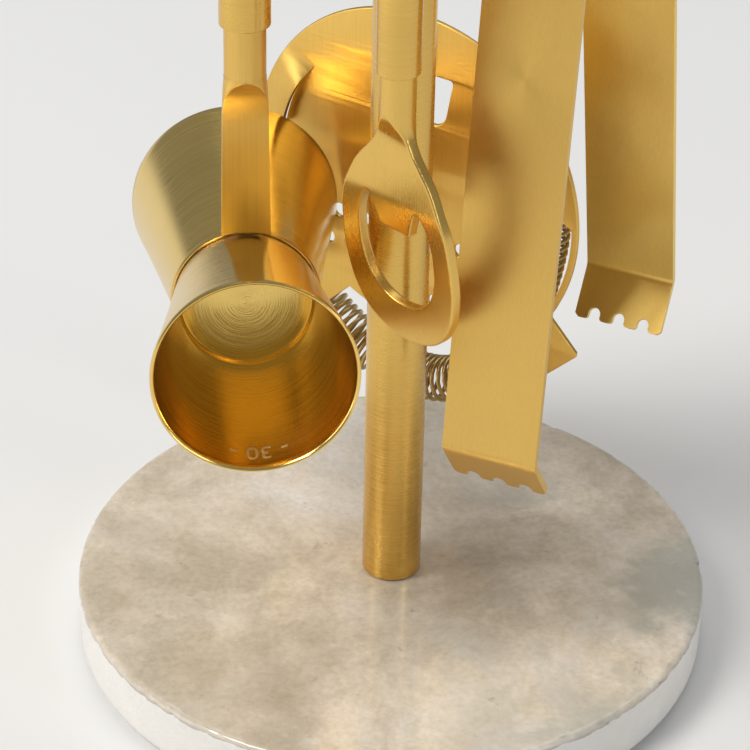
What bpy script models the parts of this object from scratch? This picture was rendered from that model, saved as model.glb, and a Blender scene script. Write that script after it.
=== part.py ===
"""Bar tool set: a double jigger, a bottle opener, ice tongs and a strainer hung on a marble stand.

Lengths are in millimetres up to the point where a mesh is made (MM turns them into metres).
The origin is the centre of the base's underside, +Z is up and -Y is the front.
Each tool hangs on its own peg and is modelled in its own frame: an empty at the tool's pivot.
"""
import math

import bmesh
import bpy
from mathutils import Matrix, Vector

MM = 0.001
GAP = 0.3

# Stand
BASE_RADIUS = 70.0
PAD_RADIUS = 66.0
PAD_THICKNESS = 1.4
BASE_TOP = 15.0
BASE_BEVEL = 1.5
BOLT_RADIUS = 2.8
RECESS_RADIUS = 12.0
RECESS_TOP = 8.0
POST_RADIUS = 6.5
POST_BORE = 5.3
POST_TOP = 224.0
HUB_RADIUS = 11.0
HUB_TOP = 240.0
PEG_Z = 232.0
PEG_RADIUS = 1.6
PEG_LENGTH = 50.0
PEG_BALL = 2.4

# Hanging rings and the eyes they pass through
RING_MAJOR = 6.0
RING_MINOR = 0.9
RING_Z = PEG_Z + PEG_RADIUS + GAP - (RING_MAJOR - RING_MINOR)
PIVOT_Z = RING_Z - RING_MAJOR
EYE_HOLE = 1.6
EYE_THICKNESS = 2.4
GRIP_TOP = 211.0

# Where the tools hang: peg angle about +Z (degrees) and distance from the post's axis
JIGGER_PEG = (190.7, 32.1)
OPENER_PEG = (-92.1, 35.0)
STRAINER_PEG = (84.5, 34.0)
TONGS_PEG = (1.6, 33.9)

# Jigger: cups measured along their shared axis from the waist between them
JIGGER_GRIP = (5.2, 153.0)
JIGGER_LEAN = 2.2
JIGGER_YAW = 5.6
CUP_TILT = 6.9
WAIST_HEIGHT = 91.0
WAIST_RADIUS = 14.9
CUP_WALL = 0.9
SMALL_CUP = (20.9, 37.9)
LARGE_CUP = (23.0, 52.4)

# Opener: the head is bent back below BEND_Z
OPENER_GRIP = (4.4, 156.7)
BEND_Z = 129.0
BEND_SLOPE = 0.15
OPENER_YAW = 45.0
OPENER_THICKNESS = 2.4
OPENER_NECK_RADIUS = 3.6

# Tongs: one strip bent over the peg, seen along its width
TONGS_YAW = 24.2
TONGS_LEAN = 0.8
STRIP_WIDTH = 20.5
STRIP_THICKNESS = 1.5
BOW_RADIUS = 17.2
BOW_CLEARANCE = 1.0
BOW_CENTRE_Z = PEG_Z + PEG_RADIUS + BOW_CLEARANCE - (BOW_RADIUS - STRIP_THICKNESS / 2)
ARM_END = (41.0, 70.6)
LIP_END = (33.8, 60.3)
BEND_FILLET = 1.3
NOTCH_HALF_WIDTH = 1.4
NOTCH_DEPTH = 2.8
NOTCH_PITCH = 5.8

# Strainer: plate measured in its own plane, centred on the disc
STRAINER_GRIP = (4.8, 149.0)
STRAINER_YAW = 33.0
PLATE_CENTRE_Z = 93.8
PLATE_RADIUS = 41.8
PLATE_THICKNESS = 1.2
WINDOW_RADIUS = 36.2
WINDOW_ANGLES = (-26.0, 36.0)
MOUTH_RADIUS = 35.5
EAR_ANGLE = -45.0
EAR_HALF_WIDTH = 10.7
EAR_REACH = 51.0
RIVET_Z = (32.4, 38.0)
STRIP_LIFT = 2.4
COIL_TURNS = 66
COIL_STEPS = 6
COIL_RADIUS = 5.0
COIL_WIRE = 0.5
COIL_SPINE = ((5, 30.5), (-15, 31), (-35, 34), (-52, 40), (-70, 48), (-88, 53), (-108, 53),
              (-128, 50.5), (-148, 43), (-165, 34), (-183, 30.5))

GOLD = ((0.70, 0.47, 0.19, 1.0), 0.30, 1.0)
DARK_GOLD = ((0.62, 0.41, 0.16, 1.0), 0.36, 1.0)
STEEL = ((0.62, 0.62, 0.60, 1.0), 0.35, 1.0)
STONE = ((0.66, 0.60, 0.52, 1.0), 0.28, 0.0)
RUBBER = ((0.035, 0.033, 0.03, 1.0), 0.85, 0.0)

for old in list(bpy.data.objects):
    bpy.data.objects.remove(old, do_unlink=True)

PARTS = bpy.data.collections.new("bar_tool_set")
CUTTERS = bpy.data.collections.new("cutters")
bpy.context.scene.collection.children.link(PARTS)
bpy.context.scene.collection.children.link(CUTTERS)


def material(name, look):
    """Principled material of one colour, roughness and metallic value."""
    colour, roughness, metallic = look
    mat = bpy.data.materials.new(name)
    mat.use_nodes = True
    shader = mat.node_tree.nodes["Principled BSDF"]
    shader.inputs["Base Color"].default_value = colour
    shader.inputs["Roughness"].default_value = roughness
    shader.inputs["Metallic"].default_value = metallic
    return mat


def frame(name, location, turn=0.0, lean=0.0, parent=None):
    """Empty at a pivot, turned about Z and then leaning about its own X (degrees)."""
    empty = bpy.data.objects.new(name, None)
    empty.location = Vector(location) * MM
    empty.rotation_euler = (math.radians(lean), 0.0, math.radians(turn))
    empty.parent = parent
    PARTS.objects.link(empty)
    return empty


def peg_point(peg, z):
    """Point at a peg's angle and distance, at height z."""
    angle, reach = math.radians(peg[0]), peg[1]
    return (reach * math.cos(angle), reach * math.sin(angle), z)


def finish(obj, look, parent=None, location=(0, 0, 0), rotation=(0, 0, 0)):
    """Put a sub-part in its collection with its own material, placed under its parent."""
    obj.data.materials.clear()
    obj.data.materials.append(material(obj.name, look))
    obj.parent = parent
    obj.location = Vector(location) * MM
    obj.rotation_euler = [math.radians(angle) for angle in rotation]
    PARTS.objects.link(obj)
    if obj.type == "MESH" and obj.data.polygons:
        obj.data.shade_smooth()
        obj.data.set_sharp_from_angle(angle=math.radians(35))
    return obj


def helper(obj, parent=None, location=(0, 0, 0), rotation=(0, 0, 0)):
    """Put a shape that cuts or joins another in the cutters' collection."""
    obj.parent = parent
    obj.location = Vector(location) * MM
    obj.rotation_euler = [math.radians(angle) for angle in rotation]
    obj.hide_render = True
    obj.display_type = "WIRE"
    CUTTERS.objects.link(obj)
    return obj


def boolean(obj, other, operation, solver="EXACT"):
    """Cut a shape from obj, or join it to obj."""
    modifier = obj.modifiers.new(other.name, "BOOLEAN")
    modifier.operation = operation
    modifier.solver = solver
    modifier.object = other


def turned(name, profile, steps=48):
    """Shape turned about its own Z from (radius, z) points; a ring's profile closes on itself."""
    points = [(radius * MM, 0.0, z * MM) for radius, z in profile]
    edges = [(i, i + 1) for i in range(len(points) - 1)]
    if profile[0][0] > 0 and profile[-1][0] > 0:
        edges.append((len(points) - 1, 0))
    mesh = bpy.data.meshes.new(name)
    mesh.from_pydata(points, edges, [])
    obj = bpy.data.objects.new(name, mesh)
    screw = obj.modifiers.new("Turn", "SCREW")
    screw.axis = "Z"
    screw.steps = steps
    screw.render_steps = steps
    screw.use_merge_vertices = True
    screw.merge_threshold = 0.00001
    return obj


def cylinder(name, radius, bottom, top, segments=24):
    """Capped cylinder about its own Z between two heights."""
    bm = bmesh.new()
    bmesh.ops.create_cone(
        bm, cap_ends=True, segments=segments, radius1=radius * MM, radius2=radius * MM,
        depth=(top - bottom) * MM, matrix=Matrix.Translation((0, 0, (top + bottom) / 2 * MM)))
    return from_bmesh(name, bm)


def from_bmesh(name, bm):
    """Object made from a bmesh, with its faces pointing out."""
    bmesh.ops.recalc_face_normals(bm, faces=bm.faces)
    mesh = bpy.data.meshes.new(name)
    bm.to_mesh(mesh)
    bm.free()
    return bpy.data.objects.new(name, mesh)


def loft(name, sections, segments=20):
    """Bar through sections (x, y, z, half width, half depth, squareness), from top to bottom."""
    bm = bmesh.new()
    rings = []
    for x, y, z, half_width, half_depth, squareness in sections:
        ring = []
        for i in range(segments):
            angle = 2 * math.pi * i / segments
            cos, sin = math.cos(angle), math.sin(angle)
            dx = half_width * math.copysign(abs(cos) ** (2 / squareness), cos)
            dy = half_depth * math.copysign(abs(sin) ** (2 / squareness), sin)
            ring.append(bm.verts.new(((x + dx) * MM, (y + dy) * MM, z * MM)))
        rings.append(ring)
    for upper, lower in zip(rings, rings[1:]):
        for i in range(segments):
            j = (i + 1) % segments
            bm.faces.new((upper[i], upper[j], lower[j], lower[i]))
    bm.faces.new(rings[0])
    bm.faces.new(rings[-1])
    return from_bmesh(name, bm)


def flat_outline(name, outlines, thickness, transform=Matrix.Rotation(math.pi / 2, 4, "X")):
    """Upright plate in its own XZ plane from closed outlines of (x, z); inner ones are holes."""
    curve = bpy.data.curves.new(name, "CURVE")
    curve.dimensions = "2D"
    curve.fill_mode = "BOTH"
    curve.extrude = thickness / 2 * MM
    for outline in outlines:
        spline = curve.splines.new("POLY")
        spline.points.add(len(outline) - 1)
        for point, (x, z) in zip(spline.points, outline):
            point.co = (x * MM, z * MM, 0.0, 1.0)
        spline.use_cyclic_u = True
    return curve_to_mesh(name, curve, transform)


def curve_to_mesh(name, curve, transform=Matrix.Identity(4)):
    """Closed mesh object made from a curve, with its caps welded on."""
    guide = bpy.data.objects.new(name + "_guide", curve)
    CUTTERS.objects.link(guide)
    bpy.context.view_layer.update()
    evaluated = guide.evaluated_get(bpy.context.evaluated_depsgraph_get())
    mesh = bpy.data.meshes.new_from_object(evaluated)
    bpy.data.objects.remove(guide, do_unlink=True)
    bm = bmesh.new()
    bm.from_mesh(mesh)
    bm.transform(transform)
    bmesh.ops.remove_doubles(bm, verts=bm.verts, dist=0.000005)
    bpy.data.meshes.remove(mesh)
    return from_bmesh(name, bm)


def arc(radius, start, end, count, centre=(0.0, 0.0)):
    """Points on an arc between two angles in degrees, both ends included."""
    angles = [math.radians(start + (end - start) * i / (count - 1)) for i in range(count)]
    return [(centre[0] + radius * math.cos(a), centre[1] + radius * math.sin(a)) for a in angles]


def catmull(p0, p1, p2, p3, t):
    """Point of the Catmull-Rom span from p1 to p2."""
    return 0.5 * (2 * p1 + (p2 - p0) * t + (2 * p0 - 5 * p1 + 4 * p2 - p3) * t * t
                  + (3 * p1 - p0 - 3 * p2 + p3) * t ** 3)


def smooth_closed(controls, per_span=4):
    """Closed Catmull-Rom curve through control points, as a list of points."""
    count = len(controls)
    points = []
    for i in range(count):
        near = [Vector(controls[(i + k - 1) % count]) for k in range(4)]
        points += [tuple(catmull(*near, step / per_span)) for step in range(per_span)]
    return points


def build_stand():
    """Pad, marble base, bolt and washer, post with its foot insert, hub, pegs and finial."""
    pad = turned("base_pad", [
        (0, PAD_THICKNESS), (PAD_RADIUS - 0.4, PAD_THICKNESS), (PAD_RADIUS, PAD_THICKNESS - 0.4),
        (PAD_RADIUS, 0), (0, 0)], 64)
    finish(pad, RUBBER)

    bottom = PAD_THICKNESS + 0.2
    hole = BOLT_RADIUS + 0.5
    base = turned("marble_base", [
        (hole, BASE_TOP), (BASE_RADIUS - BASE_BEVEL, BASE_TOP),
        (BASE_RADIUS - 0.3 * BASE_BEVEL, BASE_TOP - 0.3 * BASE_BEVEL),
        (BASE_RADIUS, BASE_TOP - BASE_BEVEL), (BASE_RADIUS, bottom + 0.8),
        (BASE_RADIUS - 0.8, bottom), (RECESS_RADIUS, bottom), (RECESS_RADIUS, RECESS_TOP),
        (hole, RECESS_TOP)], 64)
    finish(base, STONE)

    washer_top = RECESS_TOP - GAP
    washer = turned("base_washer", [
        (hole, washer_top), (9.0, washer_top), (9.0, washer_top - 1.2), (hole, washer_top - 1.2)], 32)
    finish(washer, STEEL)

    head_top = washer_top - 1.2 - GAP
    bolt = turned("base_bolt", [
        (0, 29.0), (BOLT_RADIUS - 0.6, 29.0), (BOLT_RADIUS, 28.4), (BOLT_RADIUS, head_top),
        (5.4, head_top), (5.4, head_top - 3.2), (4.6, head_top - 4.0), (2.2, head_top - 4.0),
        (2.2, head_top - 1.8), (0, head_top - 1.8)], 24)
    finish(bolt, STEEL)

    insert_radius = POST_BORE - GAP
    insert = turned("post_foot_insert", [
        (hole - 0.2, 34.0), (insert_radius - 0.6, 34.0), (insert_radius, 33.4),
        (insert_radius, BASE_TOP + GAP), (hole - 0.2, BASE_TOP + GAP)], 24)
    finish(insert, STEEL)

    post_bottom = BASE_TOP + GAP
    post = turned("post", [
        (POST_BORE, POST_TOP), (POST_RADIUS - 0.2, POST_TOP), (POST_RADIUS, POST_TOP - 0.3),
        (POST_RADIUS, post_bottom + 0.5), (POST_RADIUS - 0.5, post_bottom),
        (POST_BORE, post_bottom)], 32)
    finish(post, GOLD)
    build_hub()
    build_pegs()
    build_finial()


def build_hub():
    """Collar on the post's top: a spigot down the tube, four peg holes and a stud hole."""
    low = POST_TOP + GAP
    spigot = POST_BORE - GAP
    hub = turned("top_hub", [
        (2.4, HUB_TOP), (HUB_RADIUS - 2.0, HUB_TOP), (HUB_RADIUS - 0.6, HUB_TOP - 0.6),
        (HUB_RADIUS, HUB_TOP - 2.0), (HUB_RADIUS, low + 2.0), (HUB_RADIUS - 0.6, low + 0.6),
        (HUB_RADIUS - 2.0, low), (spigot, low), (spigot, POST_TOP - 10.0),
        (2.4, POST_TOP - 10.0)], 32)
    finish(hub, GOLD)
    pegs = (JIGGER_PEG, OPENER_PEG, STRAINER_PEG, TONGS_PEG)
    for number, (angle, _) in enumerate(pegs):
        hole = helper(cylinder(f"peg_hole_{number}", PEG_RADIUS + GAP, 4.2, HUB_RADIUS + 4, 16),
                      location=(0, 0, PEG_Z), rotation=(0, 90, angle))
        boolean(hub, hole, "DIFFERENCE")


def build_pegs():
    """Four round pegs with a ball at the free end, each lying along its own Z."""
    end = PEG_LENGTH
    ball = [(PEG_BALL * math.sin(math.radians(a)), end + PEG_BALL * math.cos(math.radians(a)))
            for a in range(0, 151, 30)]
    profile = ball + [(PEG_RADIUS, end - 2.0), (PEG_RADIUS, 5.4), (PEG_RADIUS - 0.4, 5.0), (0, 5.0)]
    tools = {"jigger": JIGGER_PEG, "opener": OPENER_PEG, "strainer": STRAINER_PEG,
             "tongs": TONGS_PEG}
    for tool, (angle, _) in tools.items():
        peg = turned(f"peg_{tool}", profile, 14)
        finish(peg, GOLD, location=(0, 0, PEG_Z), rotation=(0, 90, angle))


def build_finial():
    """Turned knob on top, with a stud that goes down into the hub."""
    low = HUB_TOP + GAP
    knob_centre = low + 13.0
    knob = [(8.6 * math.sin(math.radians(a)), knob_centre + 7.0 * math.cos(math.radians(a)))
            for a in range(0, 151, 25)]
    finial = turned("finial", knob + [
        (4.0, low + 4.5), (4.4, low + 2.5), (6.6, low + 1.6), (7.0, low + 0.8), (6.6, low),
        (2.0, low), (2.0, HUB_TOP - 3.8), (0, HUB_TOP - 3.8)], 24)
    finish(finial, GOLD)


def hanging_ring(tool, parent):
    """Wire ring that hangs on the peg, upright and across the peg, and passes through the eye."""
    section = arc(RING_MINOR, 90, -225, 8, (RING_MAJOR, 0.0))
    ring = turned(f"{tool}_ring", section, 24)
    finish(ring, GOLD, parent, (0, 0, RING_Z - PIVOT_Z), (0, 90, 0))


def grip(tool, size, parent):
    """Sleeve of a handle and the cap on its top, whose eye hangs in the ring."""
    radius, bottom = size
    bore = radius - 0.6
    low, high = bottom - PIVOT_Z, GRIP_TOP - PIVOT_Z
    sleeve = turned(f"{tool}_grip", [
        (bore, high), (radius - 0.15, high), (radius, high - 0.2), (radius, low + 0.3),
        (radius - 0.25, low), (bore, low)], 24)
    finish(sleeve, GOLD, parent)

    plug = bore - GAP
    seat = high + GAP
    cap = turned(f"{tool}_end_cap", [
        (0, seat + 3.4), (2.2, seat + 3.4), (radius - 1.4, seat + 2.4), (radius - 0.4, seat + 1.3),
        (radius, seat + 0.2), (radius - 0.2, seat), (plug, seat), (plug, seat - 8.0),
        (plug - 0.5, seat - 8.5), (0, seat - 8.5)], 24)
    finish(cap, GOLD, parent)
    hole_z = RING_MINOR + GAP - EYE_HOLE
    outline = [(-3.4, seat + 1.0)] + arc(3.4, 180, 0, 13, (0.0, hole_z)) + [(3.4, seat + 1.0)]
    hole = arc(EYE_HOLE, 0, 337.5, 16, (0.0, hole_z))
    eye = helper(flat_outline(f"{tool}_eye", [outline, hole], EYE_THICKNESS), parent)
    boolean(cap, eye, "UNION")


def cup(name, size, parent, rotation):
    """Flared cup with a flat floor, its mouth towards its own +Z and its floor near the waist."""
    rim_radius, length = size
    floor = 0.25
    inner_floor = floor + 1.1
    base_radius = WAIST_RADIUS

    def radius_at(z):
        t = (z - floor) / (length - floor)
        return base_radius + (rim_radius - base_radius) * (0.9 * t + 0.1 * t * t)

    heights = [length - (length - inner_floor - 1.2) * i / 3 for i in range(4)]
    inner = [(radius_at(z) - CUP_WALL, z) for z in reversed(heights)]
    outer = [(radius_at(z), z) for z in heights]
    inner[-1] = (rim_radius - CUP_WALL + 0.15, length)
    outer[0] = (rim_radius - 0.15, length)
    profile = [(0, inner_floor), (inner[0][0] - 1.0, inner_floor)] + inner + outer
    profile += [(base_radius + 0.05, floor + 0.5), (base_radius - 0.5, floor), (0, floor)]
    finish(turned(name, profile, 48), GOLD, parent, rotation=rotation)


def build_jigger():
    """Ring, handle and two cups back to back; the shank ends in a strip on the cups' waist."""
    pivot = peg_point(JIGGER_PEG, PIVOT_Z)
    hang = frame("jigger_ring_frame", pivot, JIGGER_PEG[0])
    hanging_ring("jigger", hang)
    tool = frame("jigger_frame", pivot, JIGGER_PEG[0] - 180)
    upright = frame("jigger_lean", (0, 0, 0), -(JIGGER_PEG[0] - 180), -JIGGER_LEAN, tool)
    grip("jigger", JIGGER_GRIP, upright)

    waist = WAIST_HEIGHT - PIVOT_Z
    handle = loft("jigger_handle", [
        (0, 0, -42.0, 3.8, 3.8, 2), (0, 0, -43.0, 4.25, 4.25, 2),
        (0, 0, -80.0, 4.25, 4.25, 2), (0, 0, -81.8, 4.35, 3.9, 2.1), (0, 0, -83.3, 4.5, 3.0, 2.6),
        (0, 0, -84.8, 4.6, 2.2, 3.6), (0, 0, -86.3, 4.65, 1.7, 5.0), (0, 0, -88.0, 4.7, 1.5, 8.0),
        (0, 0, -105.0, 4.8, 1.5, 8.0), (0, 0, waist + 11.0, 5.1, 1.5, 8.0)])
    finish(handle, GOLD, upright, rotation=(0, 0, JIGGER_YAW))
    saddle = helper(cylinder("waist_saddle", WAIST_RADIUS + 1.5, -12.0, 12.0, 64), upright,
                    (0, 0, waist), (90 - CUP_TILT + JIGGER_LEAN, 0, JIGGER_YAW))
    boolean(handle, saddle, "DIFFERENCE")

    cups = frame("jigger_cups_frame", (0, 0, waist), JIGGER_YAW, 0, upright)
    forward = 90 - (CUP_TILT - JIGGER_LEAN)
    cup("jigger_small_cup", SMALL_CUP, cups, (forward, 0, 0))
    cup("jigger_large_cup", LARGE_CUP, cups, (forward - 180, 0, 0))
    inner = WAIST_RADIUS + 0.35
    band = turned("jigger_waist_ring", [
        (inner, 1.1), (inner + 0.3, 1.1), (inner + 0.6, 0.6), (inner + 0.6, -0.6),
        (inner + 0.3, -1.1), (inner, -1.1)], 48)
    finish(band, GOLD, cups, rotation=(forward, 0, 0))


def opener_outline():
    """Outline of the opener's head, (x, height): a rounded ring narrowing to the neck."""
    half = [(3.3, 144.0), (4.8, 141.5), (7.0, 138.8), (10.0, 135.0), (12.1, 131.0), (14.1, 126.0),
            (15.0, 119.5), (15.1, 113.0), (14.2, 107.0), (12.9, 103.2), (10.4, 99.3), (6.2, 96.4)]
    left = [(-x, z) for x, z in reversed(half)]
    return smooth_closed(half + [(0.0, 95.0)] + left, 3)


def opener_hole():
    """The opening, with the tongue that catches a bottle cap standing down into it."""
    half = [(4.5, 105.0), (7.5, 107.5), (8.9, 110.3), (9.9, 114.0), (10.1, 118.0), (9.8, 122.0),
            (8.7, 125.8), (7.4, 128.2), (6.5, 128.5), (5.8, 127.4), (4.9, 124.8), (4.2, 122.6),
            (3.6, 122.1)]
    left = [(-x, z) for x, z in reversed(half)]
    return smooth_closed([(0.0, 104.0)] + half + left, 3)


def bent_back(obj, height, slope):
    """Bend a plate back (+Y) below a height of its own."""
    bm = bmesh.new()
    bm.from_mesh(obj.data)
    bmesh.ops.bisect_plane(bm, geom=bm.verts[:] + bm.edges[:] + bm.faces[:], dist=0.000001,
                           plane_co=(0, 0, height * MM), plane_no=(0, 0, 1))
    for vert in bm.verts:
        vert.co.y += slope * max(height * MM - vert.co.z, 0.0)
    bm.to_mesh(obj.data)
    bm.free()


def build_opener():
    """Ring, handle and a flat head, whose bent tongue and hole open bottles."""
    pivot = peg_point(OPENER_PEG, PIVOT_Z)
    hang = frame("opener_ring_frame", pivot, OPENER_PEG[0])
    hanging_ring("opener", hang)
    tool = frame("opener_frame", pivot, OPENER_PEG[0])
    grip("opener", OPENER_GRIP, tool)

    turn = -OPENER_YAW - OPENER_PEG[0]
    down = [(x, z - PIVOT_Z) for x, z in opener_outline()]
    hole = [(x, z - PIVOT_Z) for x, z in opener_hole()]
    head = flat_outline("opener_head", [down, hole], OPENER_THICKNESS)
    bent_back(head, BEND_Z - PIVOT_Z, BEND_SLOPE)
    finish(head, GOLD, tool, rotation=(0, 0, turn))
    radius = OPENER_NECK_RADIUS
    neck = loft("opener_neck", [
        (0, 0, -44.0, radius - 0.4, radius - 0.4, 2), (0, 0, -44.5, radius, radius, 2),
        (0, 0, -74.8, radius, radius, 2), (0, 0, -76.5, 3.7, 3.2, 2.1),
        (0, 0, -78.5, 4.0, 2.5, 2.3), (0, 0, -81.0, 4.8, 1.85, 2.6), (0, 0, -84.0, 6.0, 1.5, 3.0),
        (0, 0, -87.5, 6.4, 1.3, 3.0), (0, 0, -90.5, 5.2, 0.95, 2.5)])
    helper(neck, tool, rotation=(0, 0, turn))
    boolean(head, neck, "UNION")


def bent_strip(name, path, width, thickness):
    """Strip bent along a path of (x, z) points, its width along its own Y."""
    left, right = [], []
    for i, (x, z) in enumerate(path):
        before, after = path[max(i - 1, 0)], path[min(i + 1, len(path) - 1)]
        along = Vector((after[0] - before[0], after[1] - before[1])).normalized()
        across = Vector((-along.y, along.x)) * thickness / 2
        left.append((x + across.x, z + across.y))
        right.append((x - across.x, z - across.y))
    return flat_outline(name, [left + right[::-1]], width)


def arm_path(hinge):
    """Centre line of one arm from its hinge down to the bend and along the lip."""
    down = Vector((ARM_END[0] - hinge[0], ARM_END[1] - hinge[1]))
    lip = Vector((LIP_END[0] - ARM_END[0], LIP_END[1] - ARM_END[1]))
    path = [tuple(Vector(hinge) + down * t) for t in (0.002, 0.5, 0.985)]
    corner = Vector(ARM_END)
    for t in (0.25, 0.5, 0.75):
        a = corner - down.normalized() * BEND_FILLET * (1 - t)
        b = corner + lip.normalized() * BEND_FILLET * t
        path.append(tuple(a * (1 - t) + b * t))
    path += [tuple(corner + lip.normalized() * BEND_FILLET), LIP_END]
    return [(x, z - PEG_Z) for x, z in path]


def build_tongs():
    """Bow over the peg and two arms, each ending in a lip with three U-shaped notches."""
    slope = math.degrees(math.atan2(ARM_END[0] - 17.0, 220.3 - ARM_END[1]))
    hinge = (BOW_RADIUS * math.cos(math.radians(slope)),
             BOW_CENTRE_Z + BOW_RADIUS * math.sin(math.radians(slope)))
    bow_frame = frame("tongs_frame", peg_point(TONGS_PEG, PEG_Z), 90 - TONGS_YAW, -TONGS_LEAN)
    path = arc(BOW_RADIUS, slope + 1.2, 180 - slope - 1.2, 17, (0.0, BOW_CENTRE_Z - PEG_Z))
    bow = bent_strip("tongs_bow", path, STRIP_WIDTH, STRIP_THICKNESS)
    finish(bow, GOLD, bow_frame)

    for name, side in (("tongs_arm_front", -1), ("tongs_arm_rear", 1)):
        drop = hinge[1] - PEG_Z
        arm_frame = frame(f"{name}_frame", (side * hinge[0], 0, drop), 0, 0, bow_frame)
        local = [(side * (x - hinge[0]), z - drop) for x, z in arm_path(hinge)]
        arm = bent_strip(name, local, STRIP_WIDTH, STRIP_THICKNESS)
        finish(arm, GOLD, arm_frame)
        lip = (Vector(LIP_END) - Vector(ARM_END)).normalized()
        root = Vector(LIP_END) - lip * (NOTCH_DEPTH - NOTCH_HALF_WIDTH)
        for number in (-1, 0, 1):
            notch = flat_outline(f"{name}_notch_{number + 2}", [
                arc(NOTCH_HALF_WIDTH, 90, 270, 9) + [(4.0, -NOTCH_HALF_WIDTH),
                                                     (4.0, NOTCH_HALF_WIDTH)]], 8.0, Matrix())
            helper(notch, arm_frame,
                   (side * (root.x - hinge[0]), number * NOTCH_PITCH, root.y - hinge[1]),
                   (0, 90 - side * math.degrees(math.atan2(lip.x, -lip.y)), 0))
            boolean(arm, notch, "DIFFERENCE")


def plate_outline():
    """Outline of the strainer's plate: disc, side windows open at the rim, ears and mouth."""
    low, high = WINDOW_ANGLES
    spread = math.degrees(math.asin(EAR_HALF_WIDTH / PLATE_RADIUS))
    axis = Vector((math.cos(math.radians(EAR_ANGLE)), math.sin(math.radians(EAR_ANGLE))))
    side = Vector((-axis.y, axis.x)) * EAR_HALF_WIDTH
    mouth = math.degrees(math.asin(EAR_HALF_WIDTH / MOUTH_RADIUS))
    right = arc(MOUTH_RADIUS, -90, EAR_ANGLE - mouth, 7)
    right += [tuple(axis * (EAR_REACH - 0.6) - side), tuple(axis * EAR_REACH - side * 0.94),
              tuple(axis * EAR_REACH + side * 0.94), tuple(axis * (EAR_REACH - 0.6) + side)]
    right += arc(PLATE_RADIUS, EAR_ANGLE + spread, low, 3)
    right += arc(WINDOW_RADIUS, low + 0.5, high - 0.5, 15)
    right += arc(PLATE_RADIUS, high, 90, 14)
    return right + [(-x, z) for x, z in reversed(right[1:-1])]


def plate_holes():
    """Opening under the neck, rivet holes and the rows of round strainer holes."""
    opening = [(-9.6, 28.4), (9.6, 28.4), (9.0, 25.6)] + arc(3.6, -8, -82, 6, (4.4, 20.2))
    opening += arc(3.6, -98, -172, 6, (-4.4, 20.2)) + [(-9.0, 25.6)]
    holes = [opening]
    for z in RIVET_Z:
        holes.append(arc(1.3, 0, 324, 10, (0.0, z)))
    for row, (z, count) in enumerate(((-12.4, 9), (-20.0, 8), (-27.6, 5))):
        for i in range(count):
            x = (i - (count - 1) / 2) * 6.4
            if abs(x) < 27.5:
                holes.append(arc(1.7, 18 * row, 324 + 18 * row, 10, (x, z)))
    return holes


def coil_points():
    """Centre line of the coil spring: a helix wound round a curve that sags below the plate."""
    keys = [Vector((radius * math.cos(math.radians(angle)), 0.0,
                    radius * math.sin(math.radians(angle)))) for angle, radius in COIL_SPINE]
    keys = [2 * keys[0] - keys[1]] + keys + [2 * keys[-1] - keys[-2]]
    spans = len(keys) - 3
    total = COIL_TURNS * COIL_STEPS
    back = PLATE_THICKNESS / 2 + GAP + COIL_RADIUS + COIL_WIRE

    def spine(t):
        span = min(max(int(t * spans), 0), spans - 1)
        return catmull(*keys[span:span + 4], t * spans - span)

    points = []
    for i in range(total + 1):
        t = i / total
        along = (spine(t + 0.002) - spine(t - 0.002)).normalized()
        out = along.cross(Vector((0, 1, 0)))
        phase = 2 * math.pi * i / COIL_STEPS
        offset = out * math.cos(phase) + Vector((0, 1, 0)) * math.sin(phase)
        points.append(spine(t) + Vector((0, back, 0)) + offset * COIL_RADIUS)
    return points


def rim_strip(name, mirror):
    """Raised strip of the rim that bridges a side window and holds the coil behind it."""
    low, high = WINDOW_ANGLES
    bm = bmesh.new()
    count = 17
    half = PLATE_THICKNESS / 2
    sections = []
    for i in range(count):
        t = i / (count - 1)
        angle = math.radians(low - 4 + (high - low + 8) * t)
        rise = min(min(t, 1 - t) / 0.16, 1.0)
        lift = -STRIP_LIFT * rise * rise * (3 - 2 * rise)
        corners = []
        for radius, depth in ((37.6, half), (PLATE_RADIUS - 0.2, half), (PLATE_RADIUS - 0.2, -half),
                              (37.6, -half)):
            thin = 0.8 + 0.2 * rise
            x = radius * math.cos(angle) * (-1 if mirror else 1)
            corners.append(bm.verts.new((x * MM, (lift + depth * thin) * MM,
                                         radius * math.sin(angle) * MM)))
        sections.append(corners)
    for first, second in zip(sections, sections[1:]):
        for i in range(4):
            j = (i + 1) % 4
            bm.faces.new((first[i], first[j], second[j], second[i]))
    bm.faces.new(sections[0])
    bm.faces.new(sections[-1])
    return from_bmesh(name, bm)


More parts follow.
